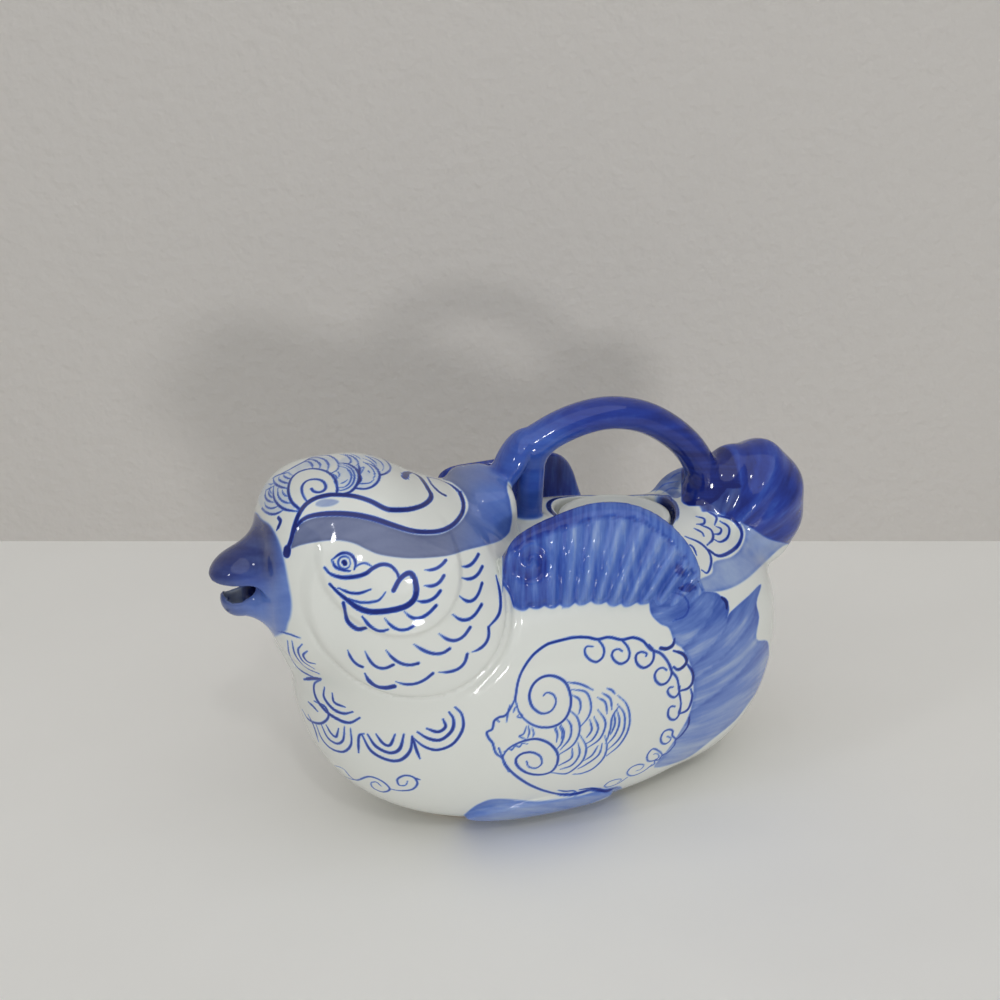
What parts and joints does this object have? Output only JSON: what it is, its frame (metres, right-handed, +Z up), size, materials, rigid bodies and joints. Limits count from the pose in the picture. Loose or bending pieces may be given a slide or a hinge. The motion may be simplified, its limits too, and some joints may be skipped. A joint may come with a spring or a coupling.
{
  "type": "bird-shaped teapot",
  "caption": "Hollow bird-shaped porcelain teapot that pours through an open beak, with an arched strap handle over a dished lid and two wing sails on its back.",
  "frame": {"origin": "on the table, under the middle of the bird's length and width", "axes": "+Z up, -X towards the beak, so the bird's left side faces -Y"},
  "size_m": [0.1764, 0.082, 0.1168],
  "materials": {
    "white_glaze": "glossy clear glaze over white porcelain",
    "cobalt_glaze": "brushed cobalt blue under a glossy clear glaze",
    "bare_foot": "bare fired clay, matte"
  },
  "bodies": {
    "pot": {"body_shell": "white_glaze", "head_shell": "white_glaze", "upper_bill": "cobalt_glaze", "spout_bill": "cobalt_glaze", "bail_handle": "cobalt_glaze", "tail_fan": "cobalt_glaze", "wing_sail_left": "cobalt_glaze", "wing_sail_right": "cobalt_glaze", "web_foot_left": "cobalt_glaze", "web_foot_right": "cobalt_glaze", "foot_ring": "bare_foot"},
    "lid": {"lid": "white_glaze"}
  },
  "joints": [
    {"name": "lid_lift", "type": "slide", "parent": "pot", "child": "lid", "axis": [0, 0, 1], "range_m": [0, 0.017]}
  ]
}
